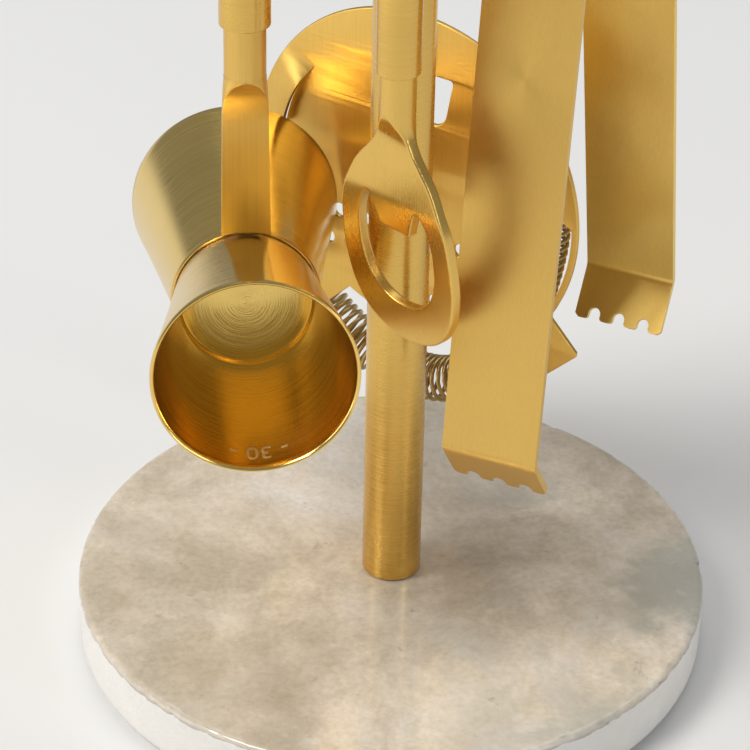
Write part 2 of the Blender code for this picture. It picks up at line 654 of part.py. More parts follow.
def build_strainer():
    """Ring, handle, riveted plate with ears and windows, and the coil spring behind it."""
    pivot = peg_point(STRAINER_PEG, PIVOT_Z)
    hang = frame("strainer_ring_frame", pivot, STRAINER_PEG[0])
    hanging_ring("strainer", hang)
    tool = frame("strainer_frame", pivot, STRAINER_PEG[0])
    grip("strainer", STRAINER_GRIP, tool)

    turn = -STRAINER_YAW - STRAINER_PEG[0]
    face = frame("strainer_plate_frame", (0, 0, PLATE_CENTRE_Z - PIVOT_Z), turn, 0, tool)
    plate = flat_outline("strainer_plate", [plate_outline()] + plate_holes(), PLATE_THICKNESS)
    finish(plate, GOLD, face)
    for name, mirror in (("rim_strip_right", False), ("rim_strip_left", True)):
        strip = helper(rim_strip(name, mirror), face)
        boolean(plate, strip, "UNION", "MANIFOLD")

    foot_y = -(PLATE_THICKNESS / 2 + 0.25 + 0.8)
    top = GRIP_TOP - PLATE_CENTRE_Z - 30
    shank = loft("strainer_shank", [
        (0, 0, top, 3.4, 3.4, 2), (0, 0, top - 0.5, 3.8, 3.8, 2), (0, 0, 54.0, 3.8, 3.8, 2),
        (0, 0, 50.5, 3.8, 3.3, 2.2), (0, foot_y * 0.5, 47.5, 3.9, 2.2, 2.6),
        (0, foot_y, 44.0, 4.0, 1.1, 4), (0, foot_y, 41.0, 4.0, 0.8, 6),
        (0, foot_y, 30.6, 4.0, 0.8, 6), (0, foot_y, 29.6, 3.2, 0.8, 4)])
    finish(shank, GOLD, face)
    for number, z in enumerate(RIVET_Z):
        hole = cylinder(f"shank_hole_{number}", 1.3, -4.0, 4.0, 12)
        helper(hole, face, (0, foot_y, z), (90, 0, 0))
        boolean(shank, hole, "DIFFERENCE")
    reach = (PLATE_THICKNESS / 2 - (foot_y - 0.8)) / 2 + GAP
    for name, z in zip(("strainer_rivet_lower", "strainer_rivet_upper"), RIVET_Z):
        rivet = turned(name, [
            (0, reach + 0.9), (1.1, reach + 0.8), (1.9, reach + 0.3), (2.0, reach), (1.0, reach),
            (1.0, -reach), (2.0, -reach), (1.9, -reach - 0.3), (1.1, -reach - 0.8),
            (0, -reach - 0.9)], 16)
        middle = (PLATE_THICKNESS / 2 + foot_y - 0.8) / 2
        finish(rivet, GOLD, face, (0, middle, z), (90, 0, 0))
    build_coil(face)


def build_coil(face):
    """Coil spring made as one long wire along its helix."""
    curve = bpy.data.curves.new("strainer_coil", "CURVE")
    curve.dimensions = "3D"
    curve.bevel_depth = COIL_WIRE * MM
    curve.bevel_resolution = 2
    curve.use_fill_caps = True
    points = coil_points()
    spline = curve.splines.new("POLY")
    spline.points.add(len(points) - 1)
    for point, co in zip(spline.points, points):
        point.co = (*(co * MM), 1.0)
    coil = bpy.data.objects.new("strainer_coil", curve)
    finish(coil, DARK_GOLD, face)


build_stand()
build_jigger()
build_opener()
build_tongs()
build_strainer()
bpy.context.view_layer.update()
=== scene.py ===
"""Looks for the bar tool set: finished surfaces for every part, a pale studio and the camera.

Shapes are in millimetres in each tool's own frame and are placed where the CAD parts are.
"""
import math

import bmesh
import bpy
from mathutils import Matrix, Vector, noise


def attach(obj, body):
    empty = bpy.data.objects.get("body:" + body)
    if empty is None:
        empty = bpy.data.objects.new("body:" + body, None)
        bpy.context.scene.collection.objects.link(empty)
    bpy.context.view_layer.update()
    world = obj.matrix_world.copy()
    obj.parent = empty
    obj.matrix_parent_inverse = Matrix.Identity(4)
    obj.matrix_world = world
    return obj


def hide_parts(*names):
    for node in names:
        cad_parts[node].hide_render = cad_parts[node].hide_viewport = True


MM = 0.001
GAP = 0.3  # clearance between neighbouring parts

# Stand
BASE_RADIUS, BASE_TOP, BASE_BOTTOM = 70.0, 15.0, 1.6
BOLT_HOLE, RECESS_RADIUS, RECESS_TOP = 3.3, 12.0, 8.0
EDGE_BAND_LOW, POLISH_START, POLISH_FULL = 12.6, 13.9, 14.6
POST_RADIUS, POST_BORE, POST_TOP = 6.5, 5.3, 224.0
HUB_RADIUS, HUB_TOP, HUB_BORE, SPIGOT_LENGTH = 11.0, 240.0, 2.4, 10.0
STUD_RADIUS, STUD_LENGTH = 2.0, 3.8
PEG_Z, PEG_RADIUS, PEG_LENGTH, PEG_BALL = 232.0, 1.6, 50.0, 2.4

# Rings, eyes and where the tools hang: (peg angle, distance from the post's axis)
RING_MAJOR, RING_MINOR, RING_Z, PIVOT_Z = 6.0, 0.9, 228.8, 222.8
EYE_HOLE, EYE_RADIUS, EYE_THICKNESS = 1.6, 3.4, 2.4
GRIP_TOP, SLEEVE_WALL, CAP_HEIGHT, PLUG_LENGTH = 211.0, 0.6, 3.4, 8.5
JIGGER_PEG = (190.7, 32.1)
OPENER_PEG = (-92.1, 35.0)
STRAINER_PEG = (84.5, 34.0)
TONGS_PEG = (1.6, 33.9)

# Jigger
JIGGER_GRIP, JIGGER_LEAN, JIGGER_YAW, CUP_TILT = (5.2, 153.0), 2.2, 5.6, 6.9
WAIST_HEIGHT, WAIST_RADIUS, CUP_WALL = 91.0, 14.9, 0.9
SMALL_CUP, LARGE_CUP = (20.9, 37.9), (23.0, 52.4)
NUMERAL_SIZE, NUMERAL_HEIGHT, NUMERAL_ANGLE, NUMERAL_DEPTH = 5.5, 31.0, -87.5, 0.05
SHANK_FOOT, SHANK_BLEND = 15.8, 4.8

# Opener
OPENER_GRIP, OPENER_YAW, OPENER_THICKNESS = (4.4, 156.7), 45.0, 2.4
BEND_Z, BEND_SLOPE, BEND_REACH = 129.0, 0.15, 1.2

# Tongs
TONGS_YAW, TONGS_LEAN, STRIP_WIDTH, STRIP_THICKNESS = 24.2, 0.8, 20.5, 1.5
BOW_RADIUS, BOW_CENTRE_Z = 17.2, 218.15
ARM_START, ARM_END, LIP_END, BEND_FILLET = (17.0, 220.3), (41.0, 70.6), (33.8, 60.3), 1.3
NOTCH_HALF_WIDTH, NOTCH_DEPTH, NOTCH_PITCH, TOOTH_ROUND, TOOTH_REACH = 1.4, 2.8, 5.8, 0.8, 4.0

# Strainer
STRAINER_GRIP, STRAINER_YAW, PLATE_CENTRE_Z = (4.8, 149.0), 33.0, 93.8
PLATE_RADIUS, PLATE_THICKNESS = 41.8, 1.2
PLATE_CURL, CURL_START = 0.4, 14.0
WINDOW_RADIUS, WINDOW_ANGLES, MOUTH_RADIUS = (30.0, 34.6), (-26.0, 36.0), 35.5
STRIP_INNER = (40.3, 34.0)
HOLE_ROWS, HOLE_RADIUS, HOLE_PITCH = ((-12.4, 9), (-20.0, 8), (-27.6, 5)), 1.7, 6.4
NECK_ROUND_END, NECK_HALF_DEPTH, RIVET_RADIUS = 54.0, 0.8, 2.0
EAR_ANGLE, EAR_HALF_WIDTH, EAR_REACH = -45.0, 10.7, 51.0
RIVET_Z = (32.4, 38.0)
STRIP_LIFT, COIL_TURNS, COIL_RADIUS, COIL_WIRE = 2.4, 76, 5.0, 0.5
# Coil: (angle round the plate, distance from its centre)
COIL_SPINE = ((5, 30.5), (-15, 31), (-35, 34), (-52, 40), (-70, 48), (-88, 53), (-108, 53),
              (-128, 50.5), (-148, 43), (-165, 34), (-183, 30.5))

# Camera: place in millimetres, tilt down in degrees, roll in radians, lens and sensor
CAMERA_PLACE, CAMERA_TILT, CAMERA_ROLL = (-4.5, -527.0, 406.5), 32.89, 0.0206
LENS, SENSOR = 139.76, 36.0

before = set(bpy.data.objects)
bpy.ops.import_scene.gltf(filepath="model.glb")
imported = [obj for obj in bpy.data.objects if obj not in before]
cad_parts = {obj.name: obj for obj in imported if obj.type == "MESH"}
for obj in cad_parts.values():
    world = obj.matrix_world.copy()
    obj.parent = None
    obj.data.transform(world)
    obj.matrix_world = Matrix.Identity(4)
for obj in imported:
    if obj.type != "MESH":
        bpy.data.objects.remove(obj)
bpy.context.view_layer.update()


# ---------------------------------------------------------------- frames

def turn(axis, degrees):
    """Rotation about an axis, in degrees."""
    return Matrix.Rotation(math.radians(degrees), 4, axis)


def shift(x, y, z):
    """Translation in millimetres."""
    return Matrix.Translation((x, y, z))


def peg_place(peg, z):
    """Translation to a peg's angle and distance, at height z."""
    angle = math.radians(peg[0])
    return shift(peg[1] * math.cos(angle), peg[1] * math.sin(angle), z)


# ---------------------------------------------------------------- mesh helpers

def piece(name, bm, body, look, place=Matrix(), nodes=(), sharp=38.0):
    """Make a bmesh in millimetres a shown piece, riding on a body in place of CAD nodes."""
    bmesh.ops.remove_doubles(bm, verts=bm.verts, dist=0.002)
    bmesh.ops.recalc_face_normals(bm, faces=bm.faces)
    bm.transform(Matrix.Scale(MM, 4))
    mesh = bpy.data.meshes.new(name)
    bm.to_mesh(mesh)
    bm.free()
    mesh.shade_smooth()
    mesh.set_sharp_from_angle(angle=math.radians(sharp))
    mesh.materials.append(look)
    obj = bpy.data.objects.new(name, mesh)
    bpy.context.scene.collection.objects.link(obj)
    placed = place.copy()
    placed.translation = place.translation * MM
    obj.matrix_world = placed
    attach(obj, body)
    if nodes:
        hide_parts(*nodes)
    return obj


def filleted(profile, radius=0.25, count=3, closed=False):
    """Profile whose corners are rounded with short curves."""
    points = [Vector(p) for p in profile]
    total = len(points)
    result = []
    for i, point in enumerate(points):
        if not closed and i in (0, total - 1):
            result.append(tuple(point))
            continue
        before, after = points[i - 1], points[(i + 1) % total]
        back, ahead = before - point, after - point
        trim = min(radius, back.length * 0.45, ahead.length * 0.45)
        if trim < 0.01 or back.angle(ahead, 0) > math.radians(172):
            result.append(tuple(point))
            continue
        start, end = point + back.normalized() * trim, point + ahead.normalized() * trim
        for step in range(count + 1):
            t = step / count
            result.append(tuple(start * (1 - t) ** 2 + point * 2 * t * (1 - t) + end * t * t))
    return result


def lathe(profile, segments=96, closed=False):
    """Mesh turned about Z from (radius, z) points."""
    bm = bmesh.new()
    rings = []
    for radius, z in profile:
        if radius < 1e-6:
            rings.append([bm.verts.new((0, 0, z))] * segments)
            continue
        angles = (2 * math.pi * i / segments for i in range(segments))
        rings.append([bm.verts.new((radius * math.cos(a), radius * math.sin(a), z)) for a in angles])
    pairs = list(zip(rings, rings[1:]))
    if closed:
        pairs.append((rings[-1], rings[0]))
    for first, second in pairs:
        for i in range(segments):
            j = (i + 1) % segments
            corners = list(dict.fromkeys((first[i], first[j], second[j], second[i])))
            if len(corners) > 2:
                bm.faces.new(corners)
    return bm


def skin(rings):
    """Closed mesh through rings of points that all have the same count."""
    bm = bmesh.new()
    made = [[bm.verts.new(point) for point in ring] for ring in rings]
    for upper, lower in zip(made, made[1:]):
        for i in range(len(upper)):
            j = (i + 1) % len(upper)
            bm.faces.new((upper[i], upper[j], lower[j], lower[i]))
    bm.faces.new(made[0])
    bm.faces.new(made[-1])
    return bm


def spline_span(span, steps):
    """Catmull-Rom samples from the second of four key tuples up to, but not at, the third."""
    return [tuple(0.5 * (2 * b + (c - a) * t + (2 * a - 5 * b + 4 * c - d) * t * t
                         + (3 * b - a - 3 * c + d) * t ** 3)
                  for a, b, c, d in zip(*span))
            for t in (step / steps for step in range(steps))]


def smooth_keys(keys, per_span):
    """Smooth samples through key tuples of any length, ends included."""
    last = len(keys) - 1
    result = []
    for i in range(last):
        result += spline_span([keys[max(i - 1, 0)], keys[i], keys[i + 1], keys[min(i + 2, last)]], per_span)
    return result + [keys[-1]]


def closed_smooth(controls, per_span):
    """Smooth closed outline through control points."""
    count = len(controls)
    points = []
    for i in range(count):
        points += spline_span([controls[(i + k - 1) % count] for k in range(4)], per_span)
    return points


def squared_ring(half_width, half_depth, squareness, count):
    """Points (x, y) round an oval whose sides are the straighter the higher its squareness."""
    ring = []
    for i in range(count):
        angle = 2 * math.pi * (i + 0.5) / count
        cos, sin = math.cos(angle), math.sin(angle)
        ring.append((half_width * math.copysign(abs(cos) ** (2 / squareness), cos),
                     half_depth * math.copysign(abs(sin) ** (2 / squareness), sin)))
    return ring


def flattened_bar(keys, count):
    """Bar through keys (z, half width, half depth, squareness, clip): a round bar milled flat."""
    rings = []
    for z, half_width, half_depth, squareness, clip in smooth_keys(keys, 6):
        ring = squared_ring(half_width, half_depth, squareness, count)
        rings.append([(x, min(max(y, -clip), clip), z) for x, y in ring])
    return skin(rings)


def arc(radius, start, end, count, centre=(0.0, 0.0)):
    """Points on an arc between two angles in degrees."""
    angles = [math.radians(start + (end - start) * i / (count - 1)) for i in range(count)]
    return [(centre[0] + radius * math.cos(a), centre[1] + radius * math.sin(a)) for a in angles]


def curve_mesh(curve, transform=Matrix()):
    """Bmesh made from a curve, with its caps welded on."""
    guide = bpy.data.objects.new("guide", curve)
    bpy.context.scene.collection.objects.link(guide)
    bpy.context.view_layer.update()
    evaluated = guide.evaluated_get(bpy.context.evaluated_depsgraph_get())
    mesh = bpy.data.meshes.new_from_object(evaluated)
    bm = bmesh.new()
    bm.from_mesh(mesh)
    bpy.data.objects.remove(guide, do_unlink=True)
    bpy.data.meshes.remove(mesh)
    bmesh.ops.remove_doubles(bm, verts=bm.verts, dist=0.004)
    bm.transform(transform)
    return bm


def plate(outlines, thickness, edge=0.3):
    """Upright plate in its XZ plane with softly rounded edges; inner outlines are holes."""
    curve = bpy.data.curves.new("outline", "CURVE")
    curve.dimensions = "2D"
    curve.fill_mode = "BOTH"
    curve.extrude = thickness / 2 - edge
    curve.bevel_depth = edge
    curve.bevel_resolution = 2
    curve.offset = -edge
    for outline in outlines:
        spline = curve.splines.new("POLY")
        spline.points.add(len(outline) - 1)
        for point, (x, z) in zip(spline.points, outline):
            point.co = (x, z, 0.0, 1.0)
        spline.use_cyclic_u = True
    return curve_mesh(curve, turn("X", 90))


def wire(points, radius):
    """Round wire along points."""
    curve = bpy.data.curves.new("wire", "CURVE")
    curve.dimensions = "3D"
    curve.bevel_depth = radius
    curve.bevel_resolution = 3
    curve.use_fill_caps = True
    spline = curve.splines.new("POLY")
    spline.points.add(len(points) - 1)
    for point, co in zip(spline.points, points):
        point.co = (*co, 1.0)
    return curve_mesh(curve)


def joined(*meshes):
    """One bmesh that holds the shapes of several."""
    whole = bmesh.new()
    for part in meshes:
        mesh = bpy.data.meshes.new("part")
        part.to_mesh(mesh)
        part.free()
        whole.from_mesh(mesh)
        bpy.data.meshes.remove(mesh)
    return whole


def rows(bm, heights):
    """Cut a mesh across at each height so that it can bend there."""
    for height in heights:
        bmesh.ops.bisect_plane(bm, geom=bm.verts[:] + bm.edges[:] + bm.faces[:], dist=0.0001,
                               plane_co=(0, 0, height), plane_no=(0, 0, 1))


def melted(bm, voxel, passes):
    """One smooth skin round overlapping closed shapes."""
    mesh = bpy.data.meshes.new("melt")
    bmesh.ops.recalc_face_normals(bm, faces=bm.faces)
    bm.to_mesh(mesh)
    bm.free()
    obj = bpy.data.objects.new("melt", mesh)
    bpy.context.scene.collection.objects.link(obj)
    remesh = obj.modifiers.new("Remesh", "REMESH")
    remesh.mode = "VOXEL"
    remesh.voxel_size = voxel
    soften = obj.modifiers.new("Soften", "SMOOTH")
    soften.factor = 0.5
    soften.iterations = passes
    bpy.context.view_layer.update()
    evaluated = obj.evaluated_get(bpy.context.evaluated_depsgraph_get())
    result = bmesh.new()
    result.from_mesh(evaluated.to_mesh())
    evaluated.to_mesh_clear()
    bpy.data.objects.remove(obj, do_unlink=True)
    return result


# ---------------------------------------------------------------- materials

class Nodes:
    """Short way to build a material's node tree."""

    def __init__(self, name):
        self.material = bpy.data.materials.new(name)
        self.material.use_nodes = True
        self.tree = self.material.node_tree
        self.shader = self.tree.nodes["Principled BSDF"]

    def add(self, kind, values=None, **settings):
        """New node with settings and input values; a value may be another node's output."""
        node = self.tree.nodes.new(kind)
        for key, value in settings.items():
            setattr(node, key, value)
        for key, value in (values or {}).items():
            self.put(node.inputs[key], value)
        return node

    def put(self, socket, value):
        """Set a socket, or link it to an output."""
        if isinstance(value, bpy.types.NodeSocket):
            self.tree.links.new(value, socket)
        else:
            socket.default_value = value

    def set(self, **values):
        """Set the shader's sockets; an underscore stands for a space."""
        for key, value in values.items():
            self.put(self.shader.inputs[key.replace("_", " ")], value)

    def math(self, operation, a, b=0.0, clamp=False):
        """Result of a Math node."""
        node = self.add("ShaderNodeMath", operation=operation, use_clamp=clamp)
        self.put(node.inputs[0], a)
        self.put(node.inputs[1], b)
        return node.outputs[0]

    def noise(self, vector, scale, detail=3.0, roughness=0.55):
        """Value of a noise texture."""
        return self.add("ShaderNodeTexNoise", {
            "Vector": vector, "Scale": scale, "Detail": detail, "Roughness": roughness}).outputs[0]

    def ramp(self, value, stops):
        """Colour ramp with stops (position, colour)."""
        node = self.add("ShaderNodeValToRGB", {"Fac": value})
        elements = node.color_ramp.elements
        while len(elements) < len(stops):
            elements.new(0.5)
        for element, (position, colour) in zip(elements, stops):
            element.position = position
            element.color = (*colour, 1.0)
        return node.outputs[0]

    def mix(self, factor, a, b, blend="MIX"):
        """Mixed colour."""
        node = self.add("ShaderNodeMix", data_type="RGBA", blend_type=blend)
        self.put(node.inputs[0], factor)
        for socket, value in ((node.inputs[6], a), (node.inputs[7], b)):
            self.put(socket, (*value, 1.0) if isinstance(value, tuple) else value)
        return node.outputs[2]

    def stretched(self, scale):
        """Object coordinates scaled per axis."""
        coordinates = self.add("ShaderNodeTexCoord").outputs["Object"]
        return self.add("ShaderNodeMapping", {"Vector": coordinates, "Scale": scale}).outputs[0]

    def polar(self, ring_scale, turn_scale):
        """Coordinates that follow turning marks about Z: distance, height and a slow angle."""
        coordinates = self.add("ShaderNodeTexCoord").outputs["Object"]
        parts = self.add("ShaderNodeSeparateXYZ", {"Vector": coordinates})
        flat = self.add("ShaderNodeCombineXYZ", {"X": parts.outputs[0], "Y": parts.outputs[1]})
        distance = self.add("ShaderNodeVectorMath", {0: flat.outputs[0]}, operation="LENGTH")
        around = self.add("ShaderNodeVectorMath", {0: flat.outputs[0]}, operation="NORMALIZE")
        unit = self.add("ShaderNodeSeparateXYZ", {"Vector": around.outputs[0]})
        depth = self.math("ADD", distance.outputs["Value"], parts.outputs[2])
        return self.add("ShaderNodeCombineXYZ", {
            "X": self.math("MULTIPLY", depth, ring_scale),
            "Y": self.math("MULTIPLY", unit.outputs[0], turn_scale),
            "Z": self.math("MULTIPLY", unit.outputs[1], turn_scale)}).outputs[0]


GOLD = (0.82, 0.53, 0.14)


def gold(name, grain, rough, relief, spread, rotation=0.0, tone=GOLD, polar=None, contrast=0.5):
    """Brushed gold: fine scratches along one direction, cloudy wear and a slight tint."""
    n = Nodes(name)
    lines = n.polar(*polar) if polar else n.stretched(grain)
    fine = n.noise(lines, 1.0, 2.0, 0.5)
    coarse = n.noise(lines, 0.3, 2.0, 0.5)
    scratches = n.math("ADD", n.math("MULTIPLY", fine, 0.8), n.math("MULTIPLY", coarse, 0.2))
    cloud = n.noise(n.stretched((1.0, 1.0, 1.0)), 42.0, 3.0, 0.6)
    tint = n.ramp(cloud, [(0.30, tuple(0.93 * c for c in tone)), (0.72, tone)])
    streak = n.ramp(scratches, [(0.32, (0.84, 0.80, 0.74)), (0.62, (1.0, 1.0, 1.0))])
    n.set(Base_Color=n.mix(contrast, tint, streak, "MULTIPLY"), Metallic=1.0)
    wear = n.math("MULTIPLY", n.math("SUBTRACT", scratches, 0.5), 0.4 * contrast)
    smear = n.math("MULTIPLY", n.math("SUBTRACT", cloud, 0.5), 0.12)
    n.set(Roughness=n.math("ADD", n.math("ADD", wear, smear), rough, clamp=True))
    n.set(Anisotropic=spread, Anisotropic_Rotation=rotation)
    n.set(Tangent=n.add("ShaderNodeTangent", direction_type="RADIAL", axis="Z").outputs[0])
    bump = n.add("ShaderNodeBump", {"Height": scratches, "Strength": relief, "Distance": 0.0002})
    n.set(Normal=bump.outputs[0])
    return n.material


def marble(name):
    """Warm beige marble: cloudy ground, pale veins, grey-green patches; polished top, honed side."""
    n = Nodes(name)
    space = n.stretched((1.0, 1.0, 1.0))
    warp = n.add("ShaderNodeTexNoise", {"Vector": space, "Scale": 16.0, "Detail": 5.0}).outputs[1]
    offset = n.add("ShaderNodeVectorMath", {0: warp, 3: 0.035}, operation="SCALE").outputs[0]
    bent = n.add("ShaderNodeVectorMath", {0: space, 1: offset}, operation="ADD").outputs[0]
    ground = n.ramp(n.noise(bent, 20.0, 8.0, 0.62), [
        (0.30, (0.56, 0.48, 0.36)), (0.44, (0.74, 0.65, 0.52)), (0.54, (0.93, 0.83, 0.69)),
        (0.66, (0.97, 0.92, 0.85))])
    mottle = n.ramp(n.noise(bent, 95.0, 6.0, 0.68), [(0.36, (0.72, 0.69, 0.63)), (0.58, (1, 1, 1))])
    ground = n.mix(0.50, ground, mottle, "MULTIPLY")
    grains = n.ramp(n.noise(space, 650.0, 4.0, 0.7), [(0.35, (0.66, 0.62, 0.56)), (0.60, (1, 1, 1))])
    ground = n.mix(0.35, ground, grains, "MULTIPLY")
    veins = n.add("ShaderNodeTexVoronoi", {"Vector": bent, "Scale": 26.0}, feature="DISTANCE_TO_EDGE")
    vein = n.ramp(veins.outputs[0], [(0.0, (1, 1, 1)), (0.10, (0.2, 0.2, 0.2)), (0.25, (0, 0, 0))])
    broken = n.ramp(n.noise(space, 34.0, 4.0), [(0.46, (0, 0, 0)), (0.66, (1, 1, 1))])
    ground = n.mix(n.math("MULTIPLY", n.math("MULTIPLY", vein, broken), 0.30), ground, (0.84, 0.81, 0.76))
    right = n.add("ShaderNodeMapRange", {
        "Value": n.add("ShaderNodeSeparateXYZ", {"Vector": space}).outputs[0],
        "From Min": -0.01, "From Max": 0.05}).outputs[0]
    patch = n.ramp(n.noise(bent, 22.0, 5.0, 0.65), [(0.48, (0, 0, 0)), (0.60, (1, 1, 1))])
    ground = n.mix(n.math("MULTIPLY", n.math("MULTIPLY", patch, right), 0.7), ground, (0.42, 0.42, 0.35))
    specks = n.ramp(n.noise(bent, 170.0, 6.0, 0.75), [(0.63, (0, 0, 0)), (0.72, (1, 1, 1))])
    ground = n.mix(n.math("MULTIPLY", specks, 0.55), ground, (0.30, 0.26, 0.18))

    height = n.add("ShaderNodeSeparateXYZ", {"Vector": space}).outputs[2]
    top = n.add("ShaderNodeMapRange", {
        "Value": height, "From Min": POLISH_START * MM, "From Max": POLISH_FULL * MM}).outputs[0]
    chalky = n.mix(0.78, ground, (0.88, 0.86, 0.83))
    colour = n.mix(top, chalky, ground)
    # A ragged dark brown band along the upper edge, with a faint darkening over the whole polished top.
    band = n.add("ShaderNodeMapRange", {
        "Value": height, "From Min": EDGE_BAND_LOW * MM, "From Max": POLISH_FULL * MM}).outputs[0]
    ragged = n.math("GREATER_THAN", n.math("ADD", band, n.noise(space, 260.0, 3.0)), 1.06)
    edge = n.math("MULTIPLY", n.math("SUBTRACT", ragged, n.math("MULTIPLY", top, 0.9)), 0.6, clamp=True)
    colour = n.mix(edge, colour, (0.36, 0.27, 0.19))
    n.set(Base_Color=colour, Specular_IOR_Level=0.5)
    polished = n.math("ADD", n.math("MULTIPLY", n.noise(space, 90.0, 4.0), 0.10), 0.05)
    rough = n.math("ADD", n.math("MULTIPLY", top, -1.0), 1.0)
    n.set(Roughness=n.math("ADD", polished, n.math("MULTIPLY", rough, 0.45), clamp=True))
    pores = n.noise(space, 900.0, 4.0, 0.7)
    strength = n.math("ADD", n.math("MULTIPLY", rough, 0.9), 0.03)
    bump = n.add("ShaderNodeBump", {"Height": pores, "Strength": strength, "Distance": 0.00025})
    n.set(Normal=bump.outputs[0])
    return n.material


def steel(name):
    """Plain turned steel for the hidden fixings."""
    n = Nodes(name)
    marks = n.noise(n.polar(9000.0, 3.0), 1.0, 3.0)
    n.set(Base_Color=n.ramp(marks, [(0.3, (0.42, 0.42, 0.41)), (0.7, (0.62, 0.62, 0.60))]), Metallic=1.0)
    n.set(Roughness=n.math("ADD", n.math("MULTIPLY", marks, 0.2), 0.25))
    return n.material


def rubber(name):
    """Dark foam rubber with fine pores."""
    n = Nodes(name)
    pores = n.noise(n.stretched((1.0, 1.0, 1.0)), 1800.0, 3.0)
    n.set(Base_Color=n.ramp(pores, [(0.3, (0.02, 0.02, 0.018)), (0.7, (0.05, 0.047, 0.043))]))
    n.set(Roughness=0.9)
    n.set(Normal=n.add("ShaderNodeBump", {"Height": pores, "Strength": 0.5, "Distance": 0.0002}).outputs[0])
    return n.material


TURNED = gold("gold_turned", None, 0.27, 0.012, 0.4, 0.25, polar=(7000.0, 0.4))
SPUN = gold("gold_spun", None, 0.19, 0.16, 0.5, 0.25, tone=(0.95, 0.68, 0.21), polar=(3400.0, 0.9),
            contrast=0.9)
STRIP = gold("gold_strip", (4200.0, 4200.0, 22.0), 0.33, 0.006, 0.5, contrast=0.35)
PLATE = gold("gold_plate", (3600.0, 3600.0, 40.0), 0.37, 0.008, 0.4, tone=(0.84, 0.54, 0.135), contrast=0.4)
# Painted light: a lighter copy of the strip gold, used only on the rear tongs arm so that it looks more
# brightly lit than the front arm.
REAR_STRIP_PAINTED_LIGHT = gold("gold_rear_strip_painted_light", (4200.0, 4200.0, 22.0), 0.36, 0.006, 0.5,
                  tone=(0.98, 0.72, 0.22), contrast=0.35)
HEAD = gold("gold_head", (3600.0, 3600.0, 30.0), 0.28, 0.0, 0.3, contrast=0.15)
WIRE = gold("gold_wire", (700.0, 700.0, 700.0), 0.32, 0.02, 0.0, tone=(0.50, 0.34, 0.13))
ETCHED = gold("gold_etched", (2400.0, 2400.0, 2400.0), 0.55, 0.05, 0.0, tone=(0.92, 0.74, 0.40))
MARBLE = marble("marble_polished")
STEEL = steel("steel_turned")
RUBBER = rubber("rubber_foam")


# ---------------------------------------------------------------- stand

def build_base():
    """Marble slab with a chipped upper edge, on its rubber pad."""
    rings = [(BOLT_HOLE, BASE_TOP)] + [(r, BASE_TOP) for r in range(10, 65, 6)]
    rings += [(65.5, BASE_TOP), (67.0, BASE_TOP), (68.0, BASE_TOP), (68.7, BASE_TOP),
              (69.2, BASE_TOP - 0.12), (69.6, BASE_TOP - 0.38), (69.88, BASE_TOP - 0.75),
              (BASE_RADIUS, BASE_TOP - 1.2), (BASE_RADIUS, BASE_TOP - 2.0)]
    rings += [(BASE_RADIUS, BASE_TOP - 2.0 - 1.5 * i) for i in range(1, 7)]
    rings += [(BASE_RADIUS, 2.6), (69.7, 1.9), (69.2, BASE_BOTTOM), (RECESS_RADIUS, BASE_BOTTOM),
              (RECESS_RADIUS, RECESS_TOP), (BOLT_HOLE, RECESS_TOP)]
    bm = lathe(rings, 360, closed=True)
    for vert in bm.verts:
        radius = math.hypot(vert.co.x, vert.co.y)
        if radius < 66 or vert.co.z < 4:
            continue
        near_edge = max(0.0, 1 - abs(vert.co.z - BASE_TOP + 0.6) / 2.2) * min(1.0, (radius - 66.5) / 2)
        chip = noise.noise(vert.co * 0.45) + 0.6 * noise.noise(vert.co * 1.3)
        depth = 0.04 * noise.noise(vert.co * 2.0) + max(0.0, chip - 0.32) * 1.3
        inward = Vector((-vert.co.x / radius, -vert.co.y / radius, -0.8))
        vert.co += inward * max(near_edge, 0.0) * max(depth, 0.0)
    piece("marble_slab", bm, "stand", MARBLE, nodes=["marble_base"], sharp=60)
    for node, look in (("base_pad", RUBBER), ("base_washer", STEEL), ("base_bolt", STEEL),
                       ("post_foot_insert", STEEL)):
        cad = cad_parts[node]
        cad.data.materials.clear()
        cad.data.materials.append(look)


